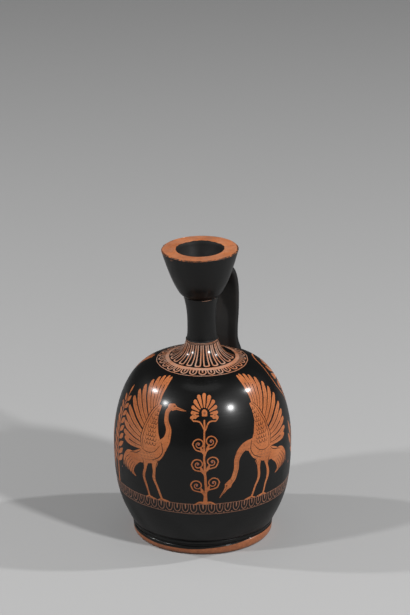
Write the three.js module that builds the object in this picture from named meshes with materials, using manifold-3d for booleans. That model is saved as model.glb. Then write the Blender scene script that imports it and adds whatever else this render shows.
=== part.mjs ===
// Squat lekythos: a round-bodied oil flask of fired clay with one strap handle. The potter throws
// the foot, the body, the neck and the mouth apart, pulls the handle, and joins the five with slip.
// Millimetres, +Z up. The origin is the centre of the ring that the flask stands on. The painted
// front faces -Y, and the handle stands at the back, to the right of the front view.

import * as THREE from 'three';
import { mergeVertices } from 'three/addons/utils/BufferGeometryUtils.js';
import Module from 'manifold-3d';

const wasm = await Module();
wasm.setup();

// Driving dimensions. A station of an outline is a radius, a height, the direction in which the
// outline runs there (degrees, 0 outwards and 90 up) and how far its curve holds that direction
// before and after the station.
const SEAM = 0.3; // between two joined pieces, where the slip was

const FOOT = {
  height: 9.3,
  restOuter: 41,
  restInner: 35,
  recess: 2.6,
  crown: 3.4, // the underside rises towards the middle
};
const FOOT_ROLL = { radius: 43.5, waist: 2.7, top: 4.7, turnIn: 0.3 }; // the rounded lower moulding
const FOOT_BAND = { radius: 44.75, from: 5.3, lip: 0.4, round: 1.1 }; // the band above it

const BODY_BASE = { r: 45.3, z: 10.2, angle: 62.6, after: 16.8 };
const BODY_BELLY = { r: 56.2, z: 63.4, angle: 90, before: 30.6, after: 11.0 };
const BODY_SHOULDER = { r: 38.4, z: 110.5, angle: 144.7, before: 16.7, after: 13.8 };
const BODY_COLLAR = { r: 10.2, z: 128.4, angle: 101, before: 14 };
const BASE_UNDERCUT = 1.2; // how far the body's underside draws in to the groove above the foot

const INSIDE_FLOOR = { r: 0, z: 13.4, angle: 0, after: 30 };
const INSIDE_HIP = { r: 45.0, z: 19.5, angle: 62, before: 9, after: 12 };
const INSIDE_BELLY = { r: 52.2, z: 63.4, angle: 90, before: 25, after: 11.5 };
const INSIDE_SHOULDER = { r: 35.9, z: 107.0, angle: 144.5, before: 15, after: 12 };
const BORE_RADIUS = 5.6;
const INSIDE_THROAT = { r: BORE_RADIUS, z: 123.5, angle: 90, before: 12 };

// The neck and the mouth lean a little, as they were joined. Their heights are from the collar.
const LEAN = 1.1; // degrees, to the left in the front view
const NECK_BEAD = { radius: 10.25, height: 1.1, round: 0.25 };
const NECK_START = 0.6;
const NECK_FOOT = { r: 9.6, z: 2.1, angle: 100, after: 3 };
const NECK_WAIST = { r: 9.0, z: 13.2, angle: 90, before: 5.5, after: 4.9 };
const NECK_TOP = { r: 11.1, z: 29.8, angle: 74.3, before: 6.0 };

const MOUTH_HEEL = { r: 11.2, z: 30.1, angle: 42, after: 4.0 };
const MOUTH_CHEEK = { r: 15.6, z: 36.2, angle: 60.9, before: 3.9, after: 6.2 };
const MOUTH_EDGE = { r: 24.05, z: 59.9, angle: 74.2, before: 7.6 };
const RIM = { outer: 23.8, inner: 15.0, height: 60.6, innerRound: 1.2, innerDrop: 0.3 };
const CUP_LIP = { r: 14.3, z: 59.4, angle: -102, after: 9 };
const CUP_FLOOR = { r: BORE_RADIUS, z: 34.3, angle: -90, before: 11 };

// The handle is a strap bent in one upright plane. Its stations lie on the middle of the strap.
const HANDLE_AZIMUTH = 57; // degrees from +X towards +Y
const HANDLE_TOP = { r: 13.0, z: 170.7, angle: 16, after: 12.2 };
const HANDLE_BEND = { r: 28.6, z: 150.4, angle: -90, before: 11.8, after: 16.0 };
const HANDLE_WAIST = { r: 27.1, z: 123.4, angle: -90, before: 13.0, after: 3.0 };
const HANDLE_ROOT = { r: 30.1, z: 110.0, angle: -79.6, before: 5.2 };
const STRAP = { width: 17.4, thickness: 5.0, squareness: 3.6 };
const FLARE = { width: 2.7, thickness: 2.2, length: 5.6 }; // gained where the strap is luted on

// How finely round forms are faceted
const BODY_SEGMENTS = 64;
const NECK_SEGMENTS = 48;
const CURVE_STEPS = 8;
const EDGE_STEPS = 3;
const INSIDE_STEPS = 6;
const STRAP_STEPS = 9;
const STRAP_SIDES = 20;

const GLOSS = { color: 0x1b1d1d, roughness: 0.22, metalness: 0 }; // black slip over orange clay

const radians = THREE.MathUtils.degToRad;

// A path that runs through the stations in order
function curveThrough(stations) {
  const path = new THREE.Path();
  path.moveTo(stations[0].r, stations[0].z);
  for (let i = 1; i < stations.length; i++) {
    const from = stations[i - 1];
    const to = stations[i];
    const leave = radians(from.angle);
    const arrive = radians(to.angle);
    path.bezierCurveTo(
      from.r + from.after * Math.cos(leave), from.z + from.after * Math.sin(leave),
      to.r - to.before * Math.cos(arrive), to.z - to.before * Math.sin(arrive),
      to.r, to.z,
    );
  }
  return path;
}

// A solid of revolution about +Z from a profile that starts and ends on the axis, or closes on itself
function turned(profile, segments) {
  return new THREE.LatheGeometry(profile, segments).rotateX(Math.PI / 2);
}

const point = (r, z) => new THREE.Vector2(r, z);

function mesh(name, geometry) {
  const made = new THREE.Mesh(geometry, new THREE.MeshStandardMaterial(GLOSS));
  made.name = name;
  return made;
}

// A low disc: a rounded moulding below, a band above it and a crease between the two. It stands on a
// ring, inside which the underside is turned hollow.
function footProfile() {
  const profile = new THREE.Path();
  profile.moveTo(0, FOOT.crown);
  profile.lineTo(FOOT.restInner - FOOT.recess, FOOT.recess);
  profile.quadraticCurveTo(FOOT.restInner, FOOT.recess, FOOT.restInner, 0);
  profile.lineTo(FOOT.restOuter, 0);
  profile.quadraticCurveTo(FOOT_ROLL.radius, 0, FOOT_ROLL.radius, FOOT_ROLL.waist);
  profile.quadraticCurveTo(
    FOOT_ROLL.radius, FOOT_ROLL.top,
    FOOT_ROLL.radius - FOOT_ROLL.turnIn, FOOT_ROLL.top,
  );
  profile.lineTo(FOOT_BAND.radius - FOOT_BAND.lip, FOOT_BAND.from);
  profile.quadraticCurveTo(
    FOOT_BAND.radius, FOOT_BAND.from,
    FOOT_BAND.radius, FOOT_BAND.from + FOOT_BAND.round,
  );
  profile.lineTo(FOOT_BAND.radius, FOOT.height - FOOT_BAND.round);
  profile.quadraticCurveTo(
    FOOT_BAND.radius, FOOT.height,
    FOOT_BAND.radius - FOOT_BAND.round, FOOT.height,
  );
  profile.lineTo(0, FOOT.height);
  return profile.getPoints(EDGE_STEPS);
}

// The outer wall of the body, from the groove above the foot to the collar under the neck
function bodyWall() {
  return curveThrough([BODY_BASE, BODY_BELLY, BODY_SHOULDER, BODY_COLLAR]).getPoints(CURVE_STEPS);
}

function bodyProfile() {
  const bottom = FOOT.height + SEAM;
  const inside = curveThrough([
    INSIDE_FLOOR, INSIDE_HIP, INSIDE_BELLY, INSIDE_SHOULDER, INSIDE_THROAT,
  ]);
  return [
    point(0, bottom),
    point(BODY_BASE.r - BASE_UNDERCUT, bottom),
    ...bodyWall(),
    point(BORE_RADIUS, BODY_COLLAR.z),
    ...inside.getPoints(INSIDE_STEPS).reverse(),
  ];
}

// The neck's outer wall swells into a bead at the collar, which the painter leaves in bare clay
function neckWall() {
  const beadTop = NECK_START + NECK_BEAD.height;
  return [
    point(NECK_BEAD.radius - NECK_BEAD.round, NECK_START),
    point(NECK_BEAD.radius, NECK_START + NECK_BEAD.height / 2),
    point(NECK_BEAD.radius - NECK_BEAD.round, beadTop),
    ...curveThrough([NECK_FOOT, NECK_WAIST, NECK_TOP]).getPoints(CURVE_STEPS - 2),
  ];
}

function neckProfile() {
  return [
    ...neckWall(),
    point(BORE_RADIUS, NECK_TOP.z),
    point(BORE_RADIUS, NECK_START),
    point(NECK_BEAD.radius - NECK_BEAD.round, NECK_START),
  ];
}

// The mouth's outer wall, from the joint with the neck to the edge of the rim
function mouthWall() {
  return curveThrough([MOUTH_HEEL, MOUTH_CHEEK, MOUTH_EDGE]).getPoints(CURVE_STEPS);
}

// A cup with a thick wall and a broad flat rim. The cup narrows to the bore of the neck.
function mouthProfile() {
  return [
    ...mouthWall(),
    point(RIM.outer, RIM.height),
    point(RIM.inner + RIM.innerRound, RIM.height),
    point(RIM.inner, RIM.height - RIM.innerDrop),
    ...curveThrough([CUP_LIP, CUP_FLOOR]).getPoints(CURVE_STEPS),
    point(BORE_RADIUS, MOUTH_HEEL.z),
    point(MOUTH_HEEL.r, MOUTH_HEEL.z),
  ];
}

// The space that a turned piece takes with its inside filled, grown outwards and up or down by the seam
function filled(wall, rise, segments) {
  const grown = wall.map((p) => point(p.x + SEAM, p.y + rise));
  return turned([point(0, grown[0].y), ...grown, point(0, grown.at(-1).y)], segments);
}

function solid(geometry) {
  const bare = geometry.clone();
  bare.deleteAttribute('normal');
  bare.deleteAttribute('uv');
  const merged = mergeVertices(bare, 1e-4);
  return new wasm.Manifold(new wasm.Mesh({
    numProp: 3,
    vertProperties: new Float32Array(merged.attributes.position.array),
    triVerts: new Uint32Array(merged.index.array),
  }));
}

function geometryOf(manifold) {
  const { vertProperties, triVerts } = manifold.getMesh();
  const geometry = new THREE.BufferGeometry();
  geometry.setAttribute('position', new THREE.BufferAttribute(vertProperties, 3));
  geometry.setIndex(new THREE.BufferAttribute(triVerts, 1));
  geometry.computeVertexNormals();
  return geometry;
}

// The strap's section, a rectangle with its edges rounded off, at one side's turn round it
function strapCorner(turn, width, thickness) {
  const soften = (value) => Math.sign(value) * Math.abs(value) ** (2 / STRAP.squareness);
  return { across: (width / 2) * soften(Math.cos(turn)), out: (thickness / 2) * soften(Math.sin(turn)) };
}

// The bent strap before its ends are cut: rings of the section along the middle line, with end faces
function strapGeometry() {
  const middle = curveThrough([HANDLE_TOP, HANDLE_BEND, HANDLE_WAIST, HANDLE_ROOT]);
  const length = middle.getLength();
  const steps = STRAP_STEPS * 3;
  const away = new THREE.Vector3(Math.cos(radians(HANDLE_AZIMUTH)), Math.sin(radians(HANDLE_AZIMUTH)), 0);
  const up = new THREE.Vector3(0, 0, 1);
  const across = new THREE.Vector3().crossVectors(up, away);
  const positions = [];
  for (let i = 0; i <= steps; i++) {
    const along = i / steps;
    const { x: r, y: z } = middle.getPointAt(along);
    const tangent = middle.getTangentAt(along);
    const nearEnd = Math.min(along, 1 - along) * length;
    const flare = Math.exp(-((nearEnd / FLARE.length) ** 2) / 2);
    for (let side = 0; side < STRAP_SIDES; side++) {
      const corner = strapCorner(
        (2 * Math.PI * side) / STRAP_SIDES,
        STRAP.width + FLARE.width * flare,
        STRAP.thickness + FLARE.thickness * flare,
      );
      const at = new THREE.Vector3()
        .addScaledVector(away, r - tangent.y * corner.out)
        .addScaledVector(up, z + tangent.x * corner.out)
        .addScaledVector(across, corner.across);
      positions.push(at.x, at.y, at.z);
    }
  }
  const index = [];
  for (let i = 0; i < steps; i++) {
    for (let side = 0; side < STRAP_SIDES; side++) {
      const next = (side + 1) % STRAP_SIDES;
      const a = i * STRAP_SIDES + side;
      const b = i * STRAP_SIDES + next;
      index.push(a, b, a + STRAP_SIDES, b, b + STRAP_SIDES, a + STRAP_SIDES);
    }
  }
  const last = steps * STRAP_SIDES;
  for (let side = 1; side < STRAP_SIDES - 1; side++) {
    index.push(0, side + 1, side);
    index.push(last, last + side, last + side + 1);
  }
  const geometry = new THREE.BufferGeometry();
  geometry.setAttribute('position', new THREE.Float32BufferAttribute(positions, 3));
  geometry.setIndex(index);
  return geometry;
}

const leaning = new THREE.Group();
leaning.position.z = BODY_COLLAR.z;
leaning.rotation.y = -radians(LEAN);
leaning.updateMatrix();
leaning.add(mesh('neck', turned(neckProfile(), NECK_SEGMENTS)));
leaning.add(mesh('mouth', turned(mouthProfile(), NECK_SEGMENTS)));

// The strap, its upper end cut to the neck and the mouth and its lower end to the shoulder
function handleGeometry() {
  const neck = solid(filled(neckWall(), 0, NECK_SEGMENTS).applyMatrix4(leaning.matrix));
  const mouth = solid(filled(mouthWall(), -SEAM, NECK_SEGMENTS).applyMatrix4(leaning.matrix));
  const body = solid(filled(bodyWall(), SEAM, BODY_SEGMENTS));
  return geometryOf(solid(strapGeometry()).subtract(mouth).subtract(neck).subtract(body));
}

const lekythos = new THREE.Group();
lekythos.add(mesh('foot', turned(footProfile(), BODY_SEGMENTS)));
lekythos.add(mesh('body', turned(bodyProfile(), BODY_SEGMENTS)));
lekythos.add(leaning);
lekythos.add(mesh('handle', handleGeometry()));

export default lekythos;
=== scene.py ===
import math

import bpy
import numpy as np
from mathutils import Matrix, Vector
from mathutils.geometry import delaunay_2d_cdt


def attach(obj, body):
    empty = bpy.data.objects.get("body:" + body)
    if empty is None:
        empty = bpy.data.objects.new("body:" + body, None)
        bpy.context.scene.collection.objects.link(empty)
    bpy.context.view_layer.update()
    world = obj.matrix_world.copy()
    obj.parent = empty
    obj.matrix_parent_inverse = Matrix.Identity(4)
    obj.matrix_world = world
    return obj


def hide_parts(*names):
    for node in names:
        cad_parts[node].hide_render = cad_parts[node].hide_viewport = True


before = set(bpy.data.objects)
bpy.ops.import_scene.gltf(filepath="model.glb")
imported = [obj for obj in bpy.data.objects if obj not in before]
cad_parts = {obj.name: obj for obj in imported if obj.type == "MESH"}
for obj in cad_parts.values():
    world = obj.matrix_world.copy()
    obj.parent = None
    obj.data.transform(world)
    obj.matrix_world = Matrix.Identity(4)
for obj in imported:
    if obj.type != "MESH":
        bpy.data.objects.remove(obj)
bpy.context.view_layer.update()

# Lengths are in millimetres up to the point where a mesh is made, and MM turns them into metres.
# The painter's angle phi runs in degrees from the middle of the front, positive to the right.
MM = 0.001

# Driving dimensions of the turned forms. A station of an outline is its radius, its height, the
# direction of the outline there in degrees, and how far the curve holds it before and after.
FOOT_HEIGHT = 9.9
FOOT_REST = (35.0, 41.6)
FOOT_RECESS = 2.6
FOOT_CROWN = 3.4
ROLL_RADIUS = 44.2
ROLL_ROUND = 3.4
ROLL_EDGE = (44.35, 5.6)
GROOVE = (43.9, 6.5)
BAND_LIP = (44.6, 7.6)
BAND_RADIUS = 44.75
BAND_FACE_TO = 8.5
BAND_TOP = (44.4, 9.5)
BODY_BASE = (45.3, 10.2, 62.6, 0, 16.8)
BODY_BELLY = (56.2, 63.4, 90, 30.6, 11.0)
BODY_SHOULDER = (38.4, 110.5, 144.7, 16.7, 13.8)
BODY_COLLAR = (10.2, 128.4, 101, 14, 0)
BASE_UNDERCUT = 0.3
INSIDE_FLOOR = (0.0, 13.4, 0, 0, 30)
INSIDE_HIP = (45.0, 19.5, 62, 9, 12)
INSIDE_BELLY = (52.2, 63.4, 90, 25, 11.5)
INSIDE_SHOULDER = (35.9, 107.0, 144.5, 15, 12)
BORE = 5.6
INSIDE_THROAT = (BORE, 123.5, 90, 12, 0)
SLIP = 0.05

# Heights of the neck and the mouth are from the collar, about which both lean
LEAN = math.radians(1.1)
COLLAR_HEIGHT = BODY_COLLAR[1]
BEAD_RADIUS = 10.25
BEAD_FROM = 0.35
BEAD_HEIGHT = 1.3
BEAD_ROUND = 0.3
NECK_FOOT = (9.6, 2.1, 100, 0, 3)
NECK_WAIST = (9.0, 13.2, 90, 5.5, 4.9)
NECK_TOP = (11.1, 29.8, 74.3, 6.0, 0)
MOUTH_HEEL = (11.2, 30.1, 42, 0, 4.0)
MOUTH_CHEEK = (15.6, 36.2, 60.9, 3.9, 6.2)
MOUTH_EDGE = (24.05, 59.9, 74.2, 7.6, 0)
RIM_OUTER = 23.8
RIM_INNER = 15.0
RIM_HEIGHT = 60.6
CUP_LIP = (14.3, 59.4, -102, 0, 9)
CUP_FLOOR = (BORE, 34.3, -90, 11, 0)

HANDLE_AZIMUTH = math.radians(57)
HANDLE_TOP = (13.0, 170.7, 16, 0, 12.2)
HANDLE_BEND = (28.6, 150.4, -90, 11.8, 16.0)
HANDLE_WAIST = (27.1, 123.4, -90, 13.0, 3.0)
HANDLE_ROOT = (30.1, 110.0, -79.6, 5.2, 0)
STRAP_WIDTH = 17.4
STRAP_THICKNESS = 5.0
STRAP_SQUARENESS = 3.6
FLARE_WIDTH = 2.7
FLARE_THICKNESS = 2.2
FLARE_LENGTH = 5.6
STRAP_BARE_BELOW = 112.4

# Where the painting is, by height on the belly and by radius on the shoulder
GROUND_LINE = 40.2
LOWER_BAND_FOOT = 32.9
TOP_CIRCLE = 28.5
WIDE_BAND = (20.85, 23.1)
LINE = 0.5
THIN_LINE = 0.34
LOWER_EGGS = 64
UPPER_EGGS = 28
TONGUES = 21
TONGUE_GAP = (86, 206)
HANDLE_PHI = 147

# The flat chart on which a turned wall is painted: across is the angle in radians times this radius
CHART_RADIUS = 50.0
CHART_HALF = math.pi * CHART_RADIUS
FIGURE_RADIUS = 54.0

# The finishes, in the order of the materials
GLOSS = 0
CLAY = 1
BROWN = 2
RED = 3
WORN = 4
DULL = 5
# PALE is bare clay with painted pale sheen over it, standing for reflected light
PALE = 6
RIM = 7
DARKER_FOOT_CLAY = 8
FADED = 9
# The strap's inner face, which lies in shade, gets slip painted lighter than the black gloss
SLIP_LIGHTENED_IN_SHADE = 10


def bezier(p0, p1, p2, p3, t):
    u = 1 - t
    weights = (u**3, 3 * u * u * t, 3 * u * t * t, t**3)
    return tuple(sum(w * c for w, c in zip(weights, axis)) for axis in zip(p0, p1, p2, p3))


def curve_through(stations, steps=24):
    """Points of a smooth outline through the stations"""
    points = [stations[0][:2]]
    for start, end in zip(stations, stations[1:]):
        leave = math.radians(start[2])
        arrive = math.radians(end[2])
        p1 = (start[0] + start[4] * math.cos(leave), start[1] + start[4] * math.sin(leave))
        p2 = (end[0] - end[3] * math.cos(arrive), end[1] - end[3] * math.sin(arrive))
        points += [bezier(start[:2], p1, p2, end[:2], i / steps) for i in range(1, steps + 1)]
    return points


def rounded(before, corner, after, steps=8):
    """A corner of an outline as a quadratic curve between the two points given"""
    points = []
    for i in range(steps + 1):
        t = i / steps
        u = 1 - t
        points.append(tuple(
            u * u * a + 2 * u * t * b + t * t * c for a, b, c in zip(before, corner, after)
        ))
    return points


class Outline:
    """A turned outline made of smooth runs that meet in corners"""

    def __init__(self, runs):
        self.starts = [0.0]
        self.runs = []
        for run in runs:
            points = np.array(run, float)
            lengths = np.hypot(*np.diff(points, axis=0).T)
            keep = np.concatenate(([True], lengths > 1e-6))
            points = points[keep]
            along = np.concatenate(([0.0], np.cumsum(lengths[lengths > 1e-6])))
            tangents = np.gradient(points, along, axis=0, edge_order=1)
            tangents /= np.linalg.norm(tangents, axis=1)[:, None]
            self.runs.append((along + self.starts[-1], points, tangents))
            self.starts.append(self.starts[-1] + along[-1])
        self.length = self.starts[-1]

    def run_at(self, along):
        found = np.searchsorted(self.starts, along, side="right") - 1
        return int(np.clip(found, 0, len(self.runs) - 1))

    def place(self, along):
        s, points, _ = self.runs[self.run_at(along)]
        return float(np.interp(along, s, points[:, 0])), float(np.interp(along, s, points[:, 1]))

    def normal(self, along, run):
        """Across and up parts of the wall's outward direction"""
        s, _, tangents = self.runs[run]
        tr = float(np.interp(along, s, tangents[:, 0]))
        tz = float(np.interp(along, s, tangents[:, 1]))
        size = math.hypot(tr, tz) or 1.0
        return tz / size, -tr / size

    def at_height(self, height, run):
        """How far along a run that climbs steadily the wall reaches a height"""
        s, points, _ = self.runs[run]
        return float(np.interp(height, points[:, 1], s))

    def rows(self, step):
        """Even steps along each run, with a row on every corner"""
        rows = []
        for low, high in zip(self.starts, self.starts[1:]):
            count = max(1, round((high - low) / step))
            rows += [low + (high - low) * i / count for i in range(count)]
        return rows + [self.length]


# Painted shapes: each is a finish and a closed outline on the chart, later ones over earlier ones

def ring(finish, low, high):
    return finish, [(-CHART_HALF, low), (CHART_HALF, low), (CHART_HALF, high), (-CHART_HALF, high)]


def between(a, b, c, d, t):
    """Catmull-Rom value between b and c"""
    return 0.5 * (2 * b + (c - a) * t + (2 * a - 5 * b + 4 * c - d) * t * t + (3 * b - a - 3 * c + d) * t**3)


def spline(points, steps):
    """A smooth line through the given points"""
    padded = [points[0]] + list(points) + [points[-1]]
    line = []
    for group in zip(padded, padded[1:], padded[2:], padded[3:]):
        for i in range(steps):
            line.append(tuple(between(*axis, i / steps) for axis in zip(*group)))
    return line + [tuple(points[-1])]


def loop(finish, points, steps=6):
    """A smooth closed outline through the given points"""
    around = list(points[-1:]) + list(points) + list(points[:2])
    line = []
    for group in zip(around, around[1:], around[2:], around[3:]):
        for i in range(steps):
            line.append(tuple(between(*axis, i / steps) for axis in zip(*group)))
    return finish, line


def limb(finish, stations, steps=6):
    """A stroke whose width changes: each station is x, y and the width there, with rounded ends"""
    line = np.array(spline(stations, steps), float)
    way = np.gradient(line[:, :2], axis=0)
    way /= np.linalg.norm(way, axis=1)[:, None] + 1e-9
    side = np.stack([-way[:, 1], way[:, 0]], 1)
    half = np.maximum(line[:, 2:3], 0.05) / 2
    left = line[:, :2] + side * half
    right = line[:, :2] - side * half
    caps = []
    for end, sign in ((-1, 1), (0, -1)):
        turns = [math.pi * k / 5 for k in range(1, 5)]
        caps.append([
            line[end, :2] + half[end] * sign * (side[end] * math.cos(a) + way[end] * math.sin(a))
            for a in turns
        ])
    outline = list(left) + caps[0] + list(right[::-1]) + caps[1]
    return finish, [tuple(p) for p in outline]


def stroke(finish, points, width, steps=4):
    """A line of one width that thins out at its ends"""
    last = len(points) - 1
    stations = [
        (x, y, width * (1.0 if 0 < i < last else 0.6)) for i, (x, y) in enumerate(points)
    ]
    return limb(finish, stations, steps)


def leaf(finish, x, y, angle, length, width, steps=7):
    """A pointed leaf that starts at x, y"""
    a = math.radians(angle)
    outline = []
    for sign in (1, -1):
        for i in range(steps):
            t = i / steps if sign > 0 else 1 - i / steps
            half = sign * width / 2 * math.sin(math.pi * t) ** 0.85
            along = length * t
            outline.append((
                x + along * math.cos(a) - half * math.sin(a),
                y + along * math.sin(a) + half * math.cos(a),
            ))
    return finish, outline


def petal(finish, x, y, angle, length, width, root=0.35, steps=9):
    """A petal with a round tip, narrow where it starts"""
    a = math.radians(angle)
    radius = width / 2
    outline = [(0, root / 2)]
    outline += [
        (length - radius + radius * math.cos(t), radius * math.sin(t))
        for t in (math.pi * (0.62 - 1.24 * i / steps) for i in range(steps + 1))
    ]
    outline.append((0, -root / 2))
    return finish, [
        (x + u * math.cos(a) - v * math.sin(a), y + u * math.sin(a) + v * math.cos(a))
        for u, v in outline
    ]


def disc(finish, x, y, radius, steps=10):
    turns = [2 * math.pi * i / steps for i in range(steps)]
    return finish, [(x + radius * math.cos(t), y + radius * math.sin(t)) for t in turns]


def chart_x(phi):
    return math.radians(phi) * CHART_RADIUS


def placed(shapes, phi, height, outline, run, scale=1.0, flip=1):
    """Shapes drawn flat in millimetres, set on the wall at an angle and a height"""
    base = outline.at_height(height, run)
    across = flip * scale * CHART_RADIUS / FIGURE_RADIUS
    return [
        (finish, [(chart_x(phi) + across * x, base + scale * y) for x, y in points])
        for finish, points in shapes
    ]


def uneven(i, k=0):
    """A fixed irregular number from -1 to 1 for the item i"""
    return math.sin(12.9898 * (i + 1) + 4.1414 * k) * math.cos(7.233 * i - 2.71 * k)


def split_sides(points, least=0.02, longest=1.7):
    """The outline without repeated points, its long sides split so that they bend with the wall"""
    kept = []
    for p in points:
        if not kept or math.dist(p, kept[-1]) > least:
            kept.append((float(p[0]), float(p[1])))
    if math.dist(kept[0], kept[-1]) <= least:
        kept.pop()
    split = []
    for (x0, y0), (x1, y1) in zip(kept, kept[1:] + kept[:1]):
        parts = max(1, math.ceil(math.hypot(x1 - x0, y1 - y0) / longest))
        split += [
            (x0 + (x1 - x0) * i / parts, y0 + (y1 - y0) * i / parts) for i in range(parts)
        ]
    return split


def by_hand(points, shake):
    """The outline moved a little, as a brush strays. The shift closes on itself round the wall."""
    moved = []
    for x, y in points:
        a = x / CHART_RADIUS
        free = 1 - min(1.0, abs(math.remainder(x, 2 * CHART_HALF)) / CHART_HALF) ** 8
        across = math.sin(9 * a + 0.8 * y) + 0.7 * math.sin(31 * a - 0.5 * y + 1)
        across += 0.5 * math.sin(67 * a + 2)
        up = math.sin(5 * a + 0.3 * y + 2) + 0.7 * math.sin(19 * a + 0.2 * y)
        up += 0.5 * math.sin(53 * a + y + 1)
        moved.append((x + shake * free * across / 2, y + shake * up / 2))
    return moved


def cut_at(points, edge, sign):
    """The part of an outline on one side of an upright line"""
    kept = []
    for (x0, y0), (x1, y1) in zip(points, points[1:] + points[:1]):
        inside0 = sign * (x0 - edge) <= 0
        inside1 = sign * (x1 - edge) <= 0
        if inside0:
            kept.append((x0, y0))
        if inside0 != inside1:
            t = (edge - x0) / (x1 - x0)
            kept.append((edge, y0 + t * (y1 - y0)))
    return kept


def on_chart(points):
    """The outline's pieces on the chart: what passes one side edge comes in again at the other"""
    parts = []
    for shift in (-2 * CHART_HALF, 0, 2 * CHART_HALF):
        moved = [(x + shift, y) for x, y in points]
        part = cut_at(moved, CHART_HALF, 1)
        part = cut_at(part, -CHART_HALF, -1) if part else []
        if len(part) > 2 and max(x for x, _ in part) - min(x for x, _ in part) > 1e-6:
            parts.append(part)
    return parts


def inside(points, polygon):
    """Which of the points lie in the polygon"""
    x, y = points[:, 0], points[:, 1]
    within = np.zeros(len(points), bool)
    p = np.array(polygon)
    q = np.roll(p, -1, axis=0)
    for (x0, y0), (x1, y1) in zip(p, q):
        if y0 == y1:
            continue
        crosses = (y0 > y) != (y1 > y)
        within ^= crosses & (x < (x1 - x0) * (y - y0) / (y1 - y0) + x0)
    return within


def join_sides(flat):
    """Gives points at the same height on the chart's two side edges exactly the same height"""
    at_side = np.nonzero(np.abs(flat[:, 0]) > CHART_HALF - 1e-3)[0]
    climb = at_side[np.argsort(flat[at_side, 1])]
    heights = flat[climb, 1]
    group = np.concatenate(([0], np.cumsum(np.diff(heights) > 1e-3)))
    flat[climb, 1] = heights[np.searchsorted(group, group)]


def chart_mesh(outline, shapes, columns, step, shake):
    """Triangles of the chart, each with its finish: a grid cut along every painted edge"""
    rows = outline.rows(step)
    wide = columns + 1
    points = [(CHART_HALF * (2 * c / columns - 1), s) for s in rows for c in range(wide)]
    edges = [(r * wide + c, r * wide + c + 1) for r in range(len(rows)) for c in range(columns)]
    for r in range(len(rows) - 1):
        edges.append((r * wide, (r + 1) * wide))
        edges.append((r * wide + columns, (r + 1) * wide + columns))
    outlines = []
    for finish, drawn in shapes:
        outlines += [(finish, part) for part in on_chart(by_hand(split_sides(drawn), shake))]
    for _, polygon in outlines:
        first = len(points)
        points += polygon
        count = len(polygon)
        edges += [(first + i, first + (i + 1) % count) for i in range(count)]
    made = delaunay_2d_cdt([Vector(p) for p in points], edges, [], 0, 1e-4)
    flat = np.array([tuple(v) for v in made[0]])
    join_sides(flat)
    triangles = np.array(made[2])
    centres = flat[triangles].mean(1)
    finishes = np.zeros(len(triangles), int)
    for finish, polygon in outlines:
        p = np.array(polygon)
        near = np.nonzero(((centres >= p.min(0)) & (centres <= p.max(0))).all(1))[0]
        if len(near):
            finishes[near[inside(centres[near], polygon)]] = finish
    return flat, triangles, finishes


def new_piece(name, vertices, faces, finishes, materials):
    """A mesh object that holds only the materials that its faces use"""
    mesh = bpy.data.meshes.new(name)
    mesh.from_pydata(vertices, [], faces)
    used = sorted(set(int(f) for f in finishes))
    slots = {finish: slot for slot, finish in enumerate(used)}
    mesh.polygons.foreach_set("material_index", [slots[int(f)] for f in finishes])
    for finish in used:
        mesh.materials.append(materials[finish])
    piece = bpy.data.objects.new(name, mesh)
    bpy.context.scene.collection.objects.link(piece)
    return piece


def turned_piece(name, outline, shapes, materials, columns=160, step=2.2, shake=0.0):
    """A painted wall turned about the axis, as one closed mesh"""
    flat, triangles, finishes = chart_mesh(outline, shapes, columns, step, shake)
    placed_at = np.array([outline.place(s) for s in flat[:, 1]])
    phi = flat[:, 0] / CHART_RADIUS
    phi[np.abs(flat[:, 0]) > CHART_HALF - 1e-3] = math.pi
    keys = {}
    index = np.zeros(len(flat), int)
    vertices = []
    for i, ((r, z), a) in enumerate(zip(placed_at, phi)):
        on_axis = r < 1e-4
        key = ("axis", round(z, 3)) if on_axis else (round(r, 4), round(z, 4), round(a, 6))
        if key not in keys:
            keys[key] = len(vertices)
            vertices.append((r * math.sin(a) * MM, -r * math.cos(a) * MM, z * MM))
        index[i] = keys[key]
    faces = index[triangles]
    whole = (faces[:, 0] != faces[:, 1]) & (faces[:, 1] != faces[:, 2]) & (faces[:, 0] != faces[:, 2])
    faces, finishes, triangles = faces[whole], finishes[whole], triangles[whole]
    piece = new_piece(name, vertices, faces.tolist(), finishes, materials)
    mesh = piece.data
    mesh.polygons.foreach_set("use_smooth", [True] * len(faces))
    runs = [outline.run_at(s) for s in flat[triangles][:, :, 1].mean(1)]
    normals = []
    for corners, run in zip(triangles, runs):
        for corner in corners:
            across, up = outline.normal(flat[corner, 1], run)
            a = flat[corner, 0] / CHART_RADIUS
            normals.append((across * math.sin(a), -across * math.cos(a), up))
    mesh.normals_split_custom_set(normals)
    return piece


# Ornament

def hanging(centre, half, top, bottom, straight=0.42, steps=8):
    """The outline of an egg or a tongue that hangs from one height down to another"""
    deep = bottom - top
    points = [(centre - half, top)]
    for i in range(steps + 1):
        t = math.pi * i / steps
        points.append((centre - half * math.cos(t), top + deep * (straight + (1 - straight) * math.sin(t))))
    points.append((centre + half, top))
    return points


def eggs(clay, low, high, count, shares, dot=0.0):
    """A row of eggs: each is a dark ring with a bare core in a thin bare outline. The shares are the
    widths of outline, ring and core in the pitch, and what each leaves free below in the height."""
    shapes = []
    pitch = 2 * CHART_HALF / count
    tall = high - low
    for i in range(count):
        centre = pitch * (i + 0.06 * uneven(i))
        wide = pitch * (1 + 0.05 * uneven(i, 1))
        for finish, (width, free) in zip((clay, GLOSS, clay), shares):
            end = low + tall * (free + 0.02 * uneven(i, 2))
            shapes.append((finish, hanging(centre, wide * width / 2, high, end)))
        if dot:
            shapes.append(disc(clay, centre + pitch / 2, low + dot * 1.6, dot * (1 + 0.3 * uneven(i, 3)), 7))
    return shapes


def shoulder_at(outline, run, radius):
    """How far along the wall the shoulder narrows to a radius"""
    s, points, _ = outline.runs[run]
    upper = points[:, 1] > BODY_BELLY[1]
    return float(np.interp(-radius, -points[upper, 0], s[upper]))


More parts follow.
